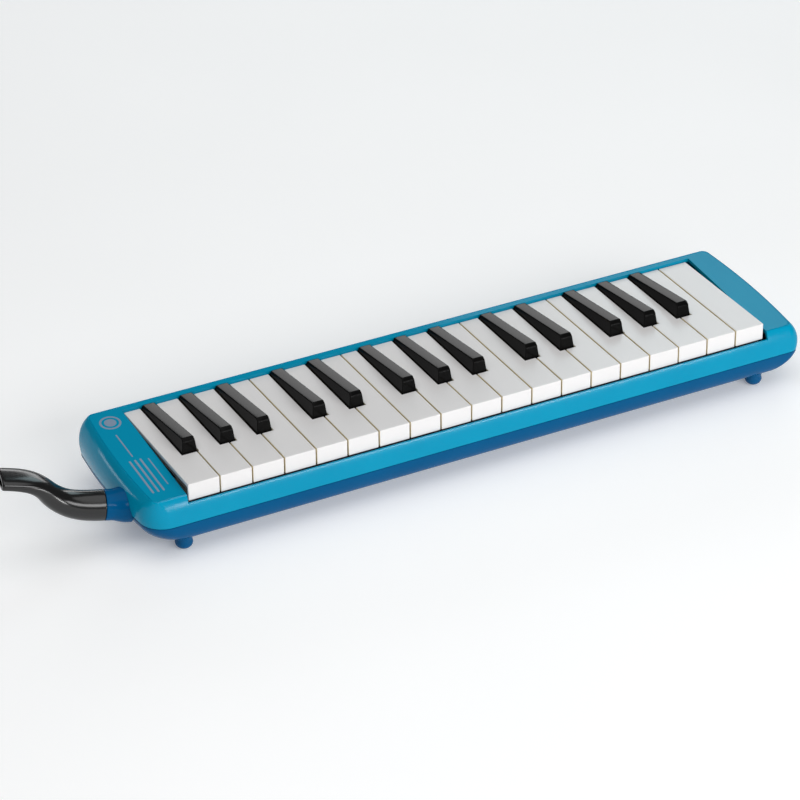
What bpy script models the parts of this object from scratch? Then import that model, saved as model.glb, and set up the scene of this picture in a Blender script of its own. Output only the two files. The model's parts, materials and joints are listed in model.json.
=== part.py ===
"""Melodica with a 32 key keyboard: housings, keys, reed block, wind chamber, mouthpiece and drain valve.

Places inside the functions are millimetres from the keyboard's front left top corner: x runs along the
keys from bass to treble, y towards the rear and z up.  place() turns them into metres in the part's frame,
whose origin is the middle of the footprint, on the surface that the feet stand on.
"""
import math

import bmesh
import bpy
from mathutils import Matrix, Vector

NAME = "melodica"
MM = 0.001

# ---- driving dimensions, millimetres ----
KEYBOARD_CORNER = (-144.3, -44.75, 41.0)  # front left top corner of the keyboard in the part's frame
WHITE_PITCH = 18.5
WHITE_COUNT = 19
KEY_GAP = 0.7
KEY_LENGTH = 81.7
KEY_PLATE = 2.4
KEY_FRONT_DEPTH = 9.8
BLACK_WIDTH = 8.7
BLACK_TOP_WIDTH = 6.7
BLACK_FRONT = 28.8
BLACK_HEIGHT = 8.0
BLACK_REAR_HEIGHT = 1.7
BLACK_BOTTOM = -3.0
NOTCH_GAP = 0.5
NOTCH_FRONT_GAP = 0.9  # a black key's foot swings forwards as the key goes down
OCTAVE_WHITES = 7
# black keys in one octave from F: white boundary number and sideways offset from that boundary
BLACK_PATTERN = ((1, -3.9), (2, -0.5), (3, 2.3), (5, -2.0), (6, 1.5))

AXLE_Y, AXLE_Z = 64.0, -9.0
AXLE_RADIUS = 1.5
KEY_BORE_RADIUS = 1.57
AXLE_SIDES = 12
LEVER_WIDTH = 4.0
LEVER_RIB_Z = -8.2
LEVER_ROOT = 0.9  # how far the lever is let into the key's plate
HUB_DEPTH = 3.0  # from the middle of the axle to the underside of the lever
HUB_HALF_LENGTH = 4.0
PAD_WIDTH = 7.0
PAD_Y = (74.0, 84.0)
PAD_TOP_Z = AXLE_Z - 2.1
SEAT_Z = -15.0
REST_GAP = 0.3
ENVELOPE_GAP = 0.5

WALL = 2.0
SEAM_Z = -21.0
RIM_BAND = 0.9  # upright strip along the meeting rims of the two housings
BOTTOM_Z = -34.0
FOOT_Z = -41.0
TOP_FRONT_Z, TOP_SLOPE = -5.4, 0.0843
RAIL_Z = -10.0
LEFT_X, RIGHT_X = -27.6, 376.5
FRONT_Y, REAR_Y = -4.0, 93.5
END_FLARE, FRONT_FLARE, REAR_FLARE = 5.8, 3.7, 7.6
FLARE_POWER, FRONT_POWER = 3.0, 1.8
END_TUCK = 1.6
LOWER_END_TUCK, LOWER_END_POWER = 10.0, 1.7
LOWER_SIDE_TUCK, LOWER_SIDE_ROUND = 7.4, 0.985  # the lower sides follow nearly a quarter of an ellipse
END_BOW = 2.0
TREBLE_SLANT = -1.6
CREASE_RADIUS = 3.8
WIDEST_RADII = (13.5, 6.5, 6.5, 10.5)  # front left, front right, rear right, rear left
WINDOW_X = (-0.7, 353.3)
WINDOW_Y = (-0.9, 82.0)

BLOCK_X = (-1.0, 352.5)
BLOCK_Y = (3.0, 85.4)
BLOCK_BOTTOM_Z = -21.0
CHAMBER_REAR_Y = 84.0
CHAMBER_Z = (-30.6, -22.6)
CHAMBER_WALL = 1.4
ENTRY_X, ENTRY_Y, ENTRY_Z = (-16.9, -2.0), (12.0, 36.0), (-28.2, -11.0)

JOINT_CENTRE = Vector((-35.5, 28.0, -17.0))  # where the mouthpiece meets the socket
SOCKET_AXIS = Vector((-0.973, 0.189, 0.13)).normalized()
TUBE_RADIUS = 8.25
SOCKET_BORE = 6.8
TENON_RADIUS = 6.5
TENON_LENGTH = 10.5
INNER_TUBE_RADIUS = 6.5
SLEEVE_RADIUS = 7.7

DRAIN_Y, DRAIN_Z = 44.0, -25.3
DRAIN_HOLE_RADIUS = 2.3
COLLAR_X = (364.4, 365.6)
COLLAR_RADIUS, BUTTON_RADIUS, STEM_RADIUS = 5.0, 4.2, 1.1
BUTTON_END_X, STEM_END_X, CLIP_END_X = 377.8, 347.6, 348.8
PAD_END_X = 350.8
UPPER_BOSS_RADIUS, LOWER_BOSS_RADIUS = 3.2, 3.6
PILOT_RADIUS, SCREW_HOLE_RADIUS, COUNTERBORE_RADIUS = 1.5, 1.6, 3.1
COUNTERBORE_DEPTH = 3.3
FLOOR_RAILS_X, FLOOR_RAILS_Y = (20.0, 330.0), (20.0, 62.0)
FEET = (("front_left", -1.0, 5.7), ("front_right", 350.0, 5.7),
        ("rear_left", -1.0, 83.8), ("rear_right", 350.0, 83.8))
FOOT_RADIUS = 4.85
FOOT_INSET = 3.0  # how deep each foot sits in the lower housing
HOUSING_SCREWS = (("left_front", -8.5, 46.0), ("left_rear", -8.5, 76.0),
                  ("right_front", 361.5, 14.0), ("right_rear", 361.5, 74.0))
COMB_SCREWS = (("bass", 30.7), ("treble", 321.95))


# ---- small helpers ----
def place(x, y, z):
    """Metres in the part's frame for a place given in millimetres from the keyboard corner."""
    ox, oy, oz = KEYBOARD_CORNER
    return Vector(((x + ox) * MM, (y + oy) * MM, (z + oz) * MM))


def clear_scene():
    for obj in list(bpy.data.objects):
        bpy.data.objects.remove(obj, do_unlink=True)


def collection(name):
    made = bpy.data.collections.new(name)
    bpy.context.scene.collection.children.link(made)
    return made


def material(name, colour, roughness, metallic=0.0):
    mat = bpy.data.materials.new(name)
    mat.use_nodes = True
    shader = mat.node_tree.nodes["Principled BSDF"]
    shader.inputs["Base Color"].default_value = (*colour, 1.0)
    shader.inputs["Roughness"].default_value = roughness
    shader.inputs["Metallic"].default_value = metallic
    return mat


def new_object(name, mesh, mat=None):
    """A part when it is given a material, and a cutter when it is not."""
    obj = bpy.data.objects.new(name, mesh)
    if mat is None:
        cutters.objects.link(obj)
        obj.hide_render = True
        obj.display_type = "WIRE"
    else:
        parts.objects.link(obj)
        own = mat.copy()
        own.name = name
        mesh.materials.append(own)
    return obj


def from_bmesh(name, bm, mat=None, pivot=None, smooth=False):
    """Object for a bmesh in metres; its origin is moved to pivot, a place in metres."""
    bmesh.ops.recalc_face_normals(bm, faces=bm.faces)
    if pivot is not None:
        bmesh.ops.translate(bm, verts=bm.verts, vec=-pivot)
    mesh = bpy.data.meshes.new(name)
    bm.to_mesh(mesh)
    bm.free()
    if smooth:
        mesh.shade_smooth()
        mesh.set_sharp_from_angle(angle=math.radians(35))
    obj = new_object(name, mesh, mat)
    if pivot is not None:
        obj.location = pivot
    return obj


def add_box(bm, low, high):
    a, b = place(*low), place(*high)
    size = b - a
    matrix = Matrix.Translation((a + b) / 2) @ Matrix.Diagonal((*size, 1.0))
    bmesh.ops.create_cube(bm, size=1.0, matrix=matrix)


def boxes(name, spans, mat=None):
    """Boxes given as pairs of low and high corners, all in one mesh."""
    bm = bmesh.new()
    for low, high in spans:
        add_box(bm, low, high)
    return from_bmesh(name, bm, mat)


def rod(name, start, direction, length, radius, mat=None, sides=20):
    """Cylinder from start, in millimetres, along a direction."""
    bm = bmesh.new()
    turn = Vector((0, 0, 1)).rotation_difference(Vector(direction)).to_matrix().to_4x4()
    middle = place(*start) + Vector(direction).normalized() * length * MM / 2
    bmesh.ops.create_cone(bm, cap_ends=True, segments=sides, radius1=radius * MM, radius2=radius * MM,
                          depth=length * MM, matrix=Matrix.Translation(middle) @ turn)
    return from_bmesh(name, bm, mat, smooth=mat is not None)


def side_prism(name, profile, x_low, x_high, mat=None, pivot=None, x_scale=None):
    """Side view outline of (y, z) points, drawn out from x_low to x_high."""
    bm = bmesh.new()
    face = bm.faces.new([bm.verts.new(place(x_low, y, z)) for y, z in profile])
    drawn = bmesh.ops.extrude_face_region(bm, geom=[face])
    moved = [v for v in drawn["geom"] if isinstance(v, bmesh.types.BMVert)]
    bmesh.ops.translate(bm, verts=moved, vec=((x_high - x_low) * MM, 0, 0))
    if x_scale:
        middle = place((x_low + x_high) / 2, 0, 0).x
        for vert in bm.verts:
            vert.co.x = middle + (vert.co.x - middle) * x_scale(vert.co.z / MM - KEYBOARD_CORNER[2])
    return from_bmesh(name, bm, mat, pivot)


def turned(name, profile, origin, axis, mat=None, steps=28, closed=False):
    """Profile of (radius, height) points, in millimetres, turned about an axis through origin."""
    mesh = bpy.data.meshes.new(name)
    points = [(r * MM, 0.0, h * MM) for r, h in profile]
    edges = [(i, i + 1) for i in range(len(points) - 1)]
    if closed:
        edges.append((len(points) - 1, 0))
    mesh.from_pydata(points, edges, [])
    obj = new_object(name, mesh, mat)
    obj.location = place(*origin)
    obj.rotation_mode = "QUATERNION"
    obj.rotation_quaternion = Vector((0, 0, 1)).rotation_difference(Vector(axis))
    screw = obj.modifiers.new("Turn", "SCREW")
    screw.steps = screw.render_steps = steps
    screw.use_merge_vertices = True
    screw.merge_threshold = 0.00001
    screw.use_smooth_shade = True
    return obj


def solid_from_curve(name, curve):
    """Closed mesh of a curve with its caps welded on."""
    path = bpy.data.objects.new(f"{name}_path", curve)
    cutters.objects.link(path)
    bpy.context.view_layer.update()
    mesh = bpy.data.meshes.new_from_object(path.evaluated_get(bpy.context.evaluated_depsgraph_get()))
    bpy.data.objects.remove(path)
    mesh.name = name
    mesh.materials.clear()
    bm = bmesh.new()
    bm.from_mesh(mesh)
    bmesh.ops.remove_doubles(bm, verts=bm.verts, dist=0.000001)
    bmesh.ops.recalc_face_normals(bm, faces=bm.faces)
    bm.to_mesh(mesh)
    bm.free()
    return mesh


def cut(obj, *cutters_used, operation="DIFFERENCE"):
    for cutter in cutters_used:
        boolean = obj.modifiers.new(operation.title(), "BOOLEAN")
        boolean.operation = operation
        boolean.solver = "EXACT"
        boolean.object = cutter


def join(obj, *others):
    cut(obj, *others, operation="UNION")


# ---- keyboard layout ----
def black_keys():
    """(white boundary, centre x) of every black key."""
    found = []
    for octave_start in range(0, WHITE_COUNT, OCTAVE_WHITES):
        for boundary, offset in BLACK_PATTERN:
            number = octave_start + boundary
            if number < WHITE_COUNT - 1:
                found.append((number, number * WHITE_PITCH + offset))
    return found


def white_edges(index):
    """Left and right side of a white key's wide front part."""
    return index * WHITE_PITCH + KEY_GAP / 2, (index + 1) * WHITE_PITCH - KEY_GAP / 2


def white_lever_x(index):
    """Middle of the narrow part of a white key, between its black neighbours."""
    left, right = white_edges(index)
    half_notch = BLACK_WIDTH / 2 + NOTCH_GAP
    for boundary, centre in black_keys():
        if boundary == index:
            left = centre + half_notch
        if boundary == index + 1:
            right = centre - half_notch
    return (left + right) / 2


def lever_places():
    whites = [white_lever_x(i) for i in range(WHITE_COUNT)]
    return sorted(whites + [centre for _, centre in black_keys()])


# ---- keys ----
def lever_profile(front_y, plate_z):
    """Side view of the rib under a key: front rib, hub round the axle, tail and step under the rim."""
    hub_z = AXLE_Z - HUB_DEPTH
    tail_z = hub_z + 0.6
    return ((front_y, plate_z), (front_y, LEVER_RIB_Z), (AXLE_Y - 3 * HUB_HALF_LENGTH, LEVER_RIB_Z),
            (AXLE_Y - HUB_HALF_LENGTH, hub_z), (AXLE_Y + HUB_HALF_LENGTH, hub_z), (PAD_Y[0], tail_z),
            (PAD_Y[1], tail_z), (PAD_Y[1], -6.0), (KEY_LENGTH + 0.8, -2.9), (KEY_LENGTH - 1.2, plate_z))


def add_lever(key, tag, x, front_y, plate_z):
    """Joins the lever and its pallet pad to a key, and bores the key for the axle."""
    half = LEVER_WIDTH / 2
    lever = side_prism(f"cut_lever_{tag}", lever_profile(front_y, plate_z), x - half, x + half)
    pad = boxes(f"cut_pad_{tag}", [((x - PAD_WIDTH / 2, PAD_Y[0], SEAT_Z + REST_GAP),
                                    (x + PAD_WIDTH / 2, PAD_Y[1], PAD_TOP_Z))])
    join(key, lever, pad)
    cut(key, axle_bore)


def white_key(index, notches):
    left, right = white_edges(index)
    profile = ((0.0, 0.0), (0.0, -KEY_FRONT_DEPTH), (1.8, -KEY_FRONT_DEPTH), (2.0, -KEY_PLATE),
               (KEY_LENGTH, -KEY_PLATE), (KEY_LENGTH, 0.0))
    x = white_lever_x(index)
    tag = f"white_{index + 1:02d}"
    key = side_prism(f"white_key_{index + 1:02d}", profile, left, right, white_plastic,
                     pivot=place(x, AXLE_Y, AXLE_Z))
    cut(key, *[notches[n] for n in (index, index + 1) if n in notches])
    add_lever(key, tag, x, 3.0, LEVER_ROOT - KEY_PLATE)


def black_key(number, centre):
    rear = KEY_LENGTH - 0.3
    profile = ((BLACK_FRONT, BLACK_BOTTOM), (BLACK_FRONT, 0.0), (BLACK_FRONT + 0.7, BLACK_HEIGHT - 1.0),
               (BLACK_FRONT + 2.2, BLACK_HEIGHT), (rear, BLACK_REAR_HEIGHT), (rear, BLACK_BOTTOM))

    def taper(z):
        return 1.0 if z < 0.5 else BLACK_TOP_WIDTH / BLACK_WIDTH

    key = side_prism(f"black_key_{number:02d}", profile, centre - BLACK_WIDTH / 2,
                     centre + BLACK_WIDTH / 2, black_plastic,
                     pivot=place(centre, AXLE_Y, AXLE_Z), x_scale=taper)
    add_lever(key, f"black_{number:02d}", centre, BLACK_FRONT + 1.5, BLACK_BOTTOM + LEVER_ROOT)


def make_keys():
    half_notch = BLACK_WIDTH / 2 + NOTCH_GAP
    notches = {}
    for boundary, centre in black_keys():
        notches[boundary] = boxes(f"cut_notch_{boundary:02d}",
                                  [((centre - half_notch, BLACK_FRONT - NOTCH_FRONT_GAP, -5.0),
                                    (centre + half_notch, KEY_LENGTH + 2.0, 5.0))])
    for index in range(WHITE_COUNT):
        white_key(index, notches)
    for number, (_, centre) in enumerate(black_keys(), start=1):
        black_key(number, centre)


# ---- housings ----
def outline(left, right, front, rear, radii, bow, corner_steps=4, side_steps=4):
    """Plan outline with round corners, bowed ends and a slanting treble end, counter clockwise."""
    middle, reach = (front + rear) / 2, (rear - front) / 2
    corners = ((left + bow, 1, front, 1, 180), (right - bow, -1, front, 1, 270),
               (right - bow, -1, rear, -1, 0), (left + bow, 1, rear, -1, 90))
    centres = [(end + across * radius, side + along * radius)
               for radius, (end, across, side, along, _) in zip(radii, corners)]
    points = []
    for number, (radius, (cx, cy)) in enumerate(zip(radii, centres)):
        for step in range(corner_steps + 1):
            angle = math.radians(corners[number][4] + 90 * step / corner_steps)
            points.append((cx + radius * math.cos(angle), cy + radius * math.sin(angle), number in (1, 2)))
        if number in (1, 3):
            end_x, sign = (right, 1) if number == 1 else (left, -1)
            next_y = centres[(number + 1) % 4][1]
            for step in range(1, side_steps):
                share = step / side_steps
                points.append((end_x - sign * bow * (2 * share - 1) ** 2, cy + (next_y - cy) * share,
                               number == 1))
    return [(x + (TREBLE_SLANT * (y - middle) / reach if treble else 0.0), y) for x, y, treble in points]


def upper_ring(t, grow=0.0):
    """Outline of the upper housing at t, which runs from 0 at the top crease to 1 at the seam."""
    flare = (1 - t) ** FLARE_POWER
    tuck = END_TUCK * t ** 3
    left = LEFT_X + END_FLARE * flare + tuck - grow
    right = RIGHT_X - END_FLARE * flare - tuck + grow
    front = FRONT_Y + FRONT_FLARE * (1 - t) ** FRONT_POWER - grow
    rear = REAR_Y - REAR_FLARE * flare + grow
    radii = [widest + (CREASE_RADIUS - widest) * flare for widest in WIDEST_RADII]
    return [(x, y, (1 - t) * (TOP_FRONT_Z + TOP_SLOPE * y) + t * SEAM_Z)
            for x, y in outline(left, right, front, rear, radii, END_BOW)]


def lower_ring(t, grow=0.0):
    """Outline of the lower housing at t, which runs from 0 at the seam to 1 at the flat bottom."""
    tuck_end = END_TUCK + LOWER_END_TUCK * t ** LOWER_END_POWER
    drop = 1 - math.sqrt(1 - (LOWER_SIDE_ROUND * t) ** 2)
    tuck_side = LOWER_SIDE_TUCK * drop / (1 - math.sqrt(1 - LOWER_SIDE_ROUND ** 2))
    z = SEAM_Z + (BOTTOM_Z - SEAM_Z) * t
    return [(x, y, z) for x, y in outline(LEFT_X + tuck_end - grow, RIGHT_X - tuck_end + grow,
                                          FRONT_Y + tuck_side - grow, REAR_Y - tuck_side + grow,
                                          [widest + 2 * t for widest in WIDEST_RADII], END_BOW)]


def moved_ring(ring, rise):
    return [(x, y, z + rise) for x, y, z in ring]


def ring_surface(rings, close_low=False, close_high=False):
    """Surface through rings of equally many points, with a flat face over either end if asked."""
    bm = bmesh.new()
    loops = [[bm.verts.new(place(*point)) for point in ring] for ring in rings]
    for lower, upper in zip(loops, loops[1:]):
        count = len(lower)
        for i in range(count):
            j = (i + 1) % count
            bm.faces.new((lower[i], lower[j], upper[j], upper[i]))
    if close_low:
        bm.faces.new(list(reversed(loops[0])))
    if close_high:
        bm.faces.new(loops[-1])
    return bm


def housing_shell(name, rings, mat):
    """Open shell with its rim at the first ring and its wall inside the drawn surface."""
    bm = ring_surface(rings, close_high=True)
    bmesh.ops.recalc_face_normals(bm, faces=bm.faces)
    middle = sum((v.co for v in bm.verts), Vector()) / len(bm.verts)
    flat = max(bm.faces, key=lambda f: f.calc_area())
    if (flat.calc_center_median() - middle).dot(flat.normal) < 0:
        bmesh.ops.reverse_faces(bm, faces=bm.faces)
    mesh = bpy.data.meshes.new(name)
    bm.to_mesh(mesh)
    bm.free()
    mesh.shade_smooth()
    mesh.set_sharp_from_angle(angle=math.radians(35))
    obj = new_object(name, mesh, mat)
    solidify = obj.modifiers.new("Wall", "SOLIDIFY")
    solidify.thickness = WALL * MM
    solidify.offset = -1.0
    solidify.use_even_offset = True
    return obj


def make_upper_housing():
    rings = [moved_ring(upper_ring(1.0), REST_GAP), moved_ring(upper_ring(1.0), RIM_BAND)]
    rings += [upper_ring(t) for t in (0.6, 0.35, 0.15, 0.0)]
    shell = housing_shell("upper_housing", rings, blue_upper)
    bosses = [rod(f"cut_upper_boss_{tag}", (x, y, SEAM_Z + REST_GAP), (0, 0, 1),
                  TOP_FRONT_Z + TOP_SLOPE * y - WALL / 2 - SEAM_Z - REST_GAP, UPPER_BOSS_RADIUS, sides=12)
              for tag, x, y in HOUSING_SCREWS]
    join(shell, *bosses)
    front, rear = WINDOW_Y
    window = side_prism("cut_window", ((-12, 12), (-12, RAIL_Z), (front, RAIL_Z), (front, -30), (rear, -30),
                                       (rear, 12)), *WINDOW_X)
    pilots = [rod(f"cut_pilot_{tag}", (x, y, SEAM_Z - 2), (0, 0, 1), 13.0, PILOT_RADIUS, sides=10)
              for tag, x, y in HOUSING_SCREWS]
    cut(shell, *pilots, window, socket_passage)


def make_lower_housing():
    rings = [lower_ring(0.0), moved_ring(lower_ring(0.0), -RIM_BAND)]
    rings += [lower_ring(t) for t in (0.35, 0.65, 0.88, 1.0)]
    shell = housing_shell("lower_housing", rings, blue_lower)
    floor_z = BOTTOM_Z + WALL
    bosses = [rod(f"cut_lower_boss_{tag}", (x, y, floor_z - 1), (0, 0, 1),
                  SEAM_Z - floor_z + 1, LOWER_BOSS_RADIUS, sides=12) for tag, x, y in HOUSING_SCREWS]
    rails = boxes("cut_rails", [((FLOOR_RAILS_X[0], y, floor_z - WALL / 4),
                                 (FLOOR_RAILS_X[1], y + WALL, CHAMBER_Z[0] - REST_GAP))
                                for y in FLOOR_RAILS_Y])
    join(shell, rails, *bosses)
    holes = []
    for tag, x, y in HOUSING_SCREWS:
        holes.append(rod(f"cut_screw_{tag}", (x, y, BOTTOM_Z - 1), (0, 0, 1), 16.0, SCREW_HOLE_RADIUS,
                         sides=10))
        holes.append(rod(f"cut_counterbore_{tag}", (x, y, BOTTOM_Z - 1), (0, 0, 1), COUNTERBORE_DEPTH + 1,
                         COUNTERBORE_RADIUS, sides=12))
    pockets = [rod(f"cut_foot_{tag}", (x, y, BOTTOM_Z - 3), (0, 0, 1), 3 + FOOT_INSET + REST_GAP,
                   FOOT_RADIUS + REST_GAP, sides=16)
               for tag, x, y in FEET]
    drain_hole = rod("cut_drain", (COLLAR_X[0], DRAIN_Y, DRAIN_Z), (1, 0, 0), 16.0,
                     BUTTON_RADIUS + REST_GAP, sides=18)
    cut(shell, socket_passage, drain_hole, *holes, *pockets)


# ---- reed block, plates and wind chamber ----
def make_reed_block():
    """Block with one air cell and one pallet hole for each key, and slotted posts for the axle."""
    block = boxes("reed_block", [((BLOCK_X[0], BLOCK_Y[0], BLOCK_BOTTOM_Z),
                                  (BLOCK_X[1], BLOCK_Y[1], SEAT_Z))], block_plastic)
    levers = lever_places()
    cells = boxes("cut_cells", [((x - 3.2, 10, BLOCK_BOTTOM_Z - 2), (x + 3.2, 82, SEAT_Z - 1.5))
                                for x in levers])
    pallet_holes = boxes("cut_pallet_holes", [((x - 2.25, 76.5, SEAT_Z - 3), (x + 2.25, 81.5, SEAT_Z + 2))
                                              for x in levers])
    gaps = [(a + b) / 2 for a, b in zip(levers, levers[1:])]
    posts_x = [1.2] + gaps[2::4] + [350.3]
    posts = boxes("cut_posts", [((x - 1.0, AXLE_Y - 3.6, SEAT_Z - 1), (x + 1.0, AXLE_Y + 3.6, AXLE_Z + 2.1))
                                for x in posts_x])
    slot = boxes("cut_axle_slot", [((-5, AXLE_Y - 1.8, AXLE_Z - 1.8), (360, AXLE_Y + 1.8, AXLE_Z + 5))])
    comb_holes = [rod(f"cut_comb_pilot_{tag}", (x, 35.0, SEAT_Z - 1.2), (0, 0, 1), 5.0, 1.1, sides=12)
                  for tag, x in COMB_SCREWS]
    join(block, posts)
    cut(block, cells, pallet_holes, slot, *comb_holes)


def reed_tongue_slot(x, length):
    """Narrow U round one reed tongue, which stays joined to the plate at its rear end."""
    front, rear = 70.0 - length, 70.0
    outer, inner = 1.9, 1.4
    return [(x - outer, front), (x + outer, front), (x + outer, rear), (x + inner, rear),
            (x + inner, front + 0.5), (x - inner, front + 0.5), (x - inner, rear), (x - outer, rear)]


def reed_plate(name, x_low, x_high, levers):
    """Brass plate with one cut-out round each reed; the bass reeds are the longest."""
    thickness = 1.0
    top_z = BLOCK_BOTTOM_Z - REST_GAP
    curve = bpy.data.curves.new(f"{name}_outline", "CURVE")
    curve.dimensions = "2D"
    curve.fill_mode = "BOTH"
    curve.extrude = thickness * MM / 2
    shapes = [[(x_low, 8), (x_high, 8), (x_high, 74), (x_low, 74)]]
    for x in levers:
        shapes.append(reed_tongue_slot(x, 50.0 - 30.0 * x / BLOCK_X[1]))
    for shape in shapes:
        spline = curve.splines.new("POLY")
        spline.points.add(len(shape) - 1)
        for point, (x, y) in zip(spline.points, shape):
            position = place(x, y, 0)
            point.co = (position.x, position.y, 0.0, 1.0)
        spline.use_cyclic_u = True
    plate = new_object(name, solid_from_curve(name, curve), brass)
    plate.location = (0, 0, place(0, 0, top_z - thickness / 2).z)


def make_reed_plates():
    levers = lever_places()
    split = (levers[15] + levers[16]) / 2
    reed_plate("reed_plate_bass", 2.4, split - 0.5, levers[:16])
    reed_plate("reed_plate_treble", split + 0.5, 349.1, levers[16:])


def make_reed_gasket():
    """Frame shaped seal that lies round the plates, between the block and the wind chamber."""
    top, bottom = BLOCK_BOTTOM_Z - REST_GAP, CHAMBER_Z[1] + REST_GAP
    gasket = boxes("reed_gasket", [((BLOCK_X[0], BLOCK_Y[0], bottom), (BLOCK_X[1], CHAMBER_REAR_Y, top))],
                   seal_rubber)
    inside = boxes("cut_gasket", [((BLOCK_X[0] + 2.8, BLOCK_Y[0] + 2.8, -30),
                                   (BLOCK_X[1] - 2.8, CHAMBER_REAR_Y - 1.6, -10))])
    cut(gasket, inside)


def make_wind_chamber():
    """Open topped tray under the reeds, with a taller entry box at the bass end for the inlet tube."""
    w = CHAMBER_WALL
    low_z, top_z = CHAMBER_Z
    tray = boxes("wind_chamber", [((BLOCK_X[0], BLOCK_Y[0], low_z), (BLOCK_X[1], CHAMBER_REAR_Y, top_z))],
                 block_plastic)
    x, y, z = ENTRY_X, ENTRY_Y, ENTRY_Z
    entry = boxes("cut_entry_box", [((x[0], y[0], z[0]), (x[1], y[1], z[1]))])
    bridge = boxes("cut_entry_bridge", [((x[1] - 1, y[0], z[0]), (BLOCK_X[0] + 1, y[1], top_z))])
    inside = boxes("cut_tray_inside", [((BLOCK_X[0] + w, BLOCK_Y[0] + w, low_z + w),
                                        (BLOCK_X[1] - w, CHAMBER_REAR_Y - w, 0))])
    entry_inside = boxes("cut_entry_inside", [((x[0] + w, y[0] + w, z[0] + w),
                                               (x[1] - w, y[1] - w, z[1] - w))])
    duct = boxes("cut_entry_duct", [((x[1] - 3, y[0] + w, z[0] + w),
                                     (BLOCK_X[0] + 3, y[1] - w, top_z - 0.6))])
    valve_hole = rod("cut_valve_hole", (346, DRAIN_Y, DRAIN_Z), (1, 0, 0), 12.0, DRAIN_HOLE_RADIUS, sides=12)
    gasket_hole = rod("cut_gasket_hole", along_axis(-14.0), -SOCKET_AXIS, 9.0, SLEEVE_RADIUS + REST_GAP)
    join(tray, entry, bridge)
    cut(tray, inside, entry_inside, duct, valve_hole, gasket_hole)


def make_axle_and_springs():
    """Steel axle of all the keys, the comb of leaf springs under the levers, and the front rest felt."""
    rod("key_axle", (-0.6, AXLE_Y, AXLE_Z), (1, 0, 0), 352.8, AXLE_RADIUS, steel, sides=AXLE_SIDES)
    sheet = 0.5
    low = SEAT_Z + REST_GAP
    tip = AXLE_Z - 3.0 - 0.45
    profile = ((32.5, low), (44.0, low), (62.0, tip - sheet), (62.0, tip), (44.0, low + sheet),
               (32.5, low + sheet))
    comb = side_prism("spring_comb", profile, 1.0, 350.5, spring_steel)
    levers = lever_places()
    edges = [-5.0] + [x + side for x in levers for side in (-1.3, 1.3)] + [360.0]
    between = boxes("cut_comb_gaps", [((a, 38.0, -20), (b, 70.0, 0))
                                      for a, b in zip(edges[0::2], edges[1::2])])
    holes = [rod(f"cut_comb_hole_{tag}", (x, 35.0, -20), (0, 0, 1), 8.0, 1.2, sides=12)
             for tag, x in COMB_SCREWS]
    cut(comb, between, *holes)
    boxes("key_felt", [((0, 6.0, SEAT_Z + REST_GAP), (351.5, 12.0, -12.9))], felt)


# ---- air inlet and mouthpiece ----
def along_axis(distance):
    """Place on the socket's axis; distances beyond the joint with the mouthpiece are positive."""
    return JOINT_CENTRE + SOCKET_AXIS * distance


def make_inlet():
    """Socket that carries the mouthpiece, with its tube into the wind chamber and two seals."""
    flare = ((TUBE_RADIUS, 0.0), (TUBE_RADIUS, -4.5), (TUBE_RADIUS + 0.5, -7.5), (TUBE_RADIUS + 1.4, -11.0),
             (TUBE_RADIUS + 1.4, -14.0), (SOCKET_BORE, -14.0), (SOCKET_BORE, 0.0))
    tube = ((TUBE_RADIUS, -1.0), (TUBE_RADIUS, -13.0), (INNER_TUBE_RADIUS, -13.0), (INNER_TUBE_RADIUS, -22.0),
            (4.8, -22.0), (4.8, -11.5), (SOCKET_BORE, -11.5), (SOCKET_BORE, -1.0))
    envelope = from_bmesh("cut_envelope", ring_surface(
        [upper_ring(t, grow=ENVELOPE_GAP) for t in (0.0, 0.15, 0.35, 0.6, 1.0)]
        + [lower_ring(t, grow=ENVELOPE_GAP) for t in (0.35, 0.65, 0.88, 1.0)],
        close_low=True, close_high=True))
    socket = turned("air_inlet_socket", flare, JOINT_CENTRE, SOCKET_AXIS, blue_lower, steps=20, closed=True)
    inner = turned("cut_socket_tube", tube, JOINT_CENTRE, SOCKET_AXIS, steps=20, closed=True)
    cut(socket, envelope)
    join(socket, inner)
    sleeve = ((SLEEVE_RADIUS, -16.5), (SLEEVE_RADIUS, -21.5), (INNER_TUBE_RADIUS + REST_GAP, -21.5),
              (INNER_TUBE_RADIUS + REST_GAP, -16.5))
    turned("inlet_gasket", sleeve, JOINT_CENTRE, SOCKET_AXIS, seal_rubber, steps=20, closed=True)
    groove = ((SOCKET_BORE - 0.1, -5.25), (SOCKET_BORE - 0.1, -6.75), (5.6, -6.75), (5.6, -5.25))
    turned("mouthpiece_seal", groove, JOINT_CENTRE, SOCKET_AXIS, seal_rubber, steps=20, closed=True)


def bezier(points, t):
    """Point on a cubic Bezier curve through four control points."""
    a, b, c, d = (Vector(p) for p in points)
    s = 1 - t
    return a * s ** 3 + b * 3 * s * s * t + c * 3 * s * t * t + d * t ** 3


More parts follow.
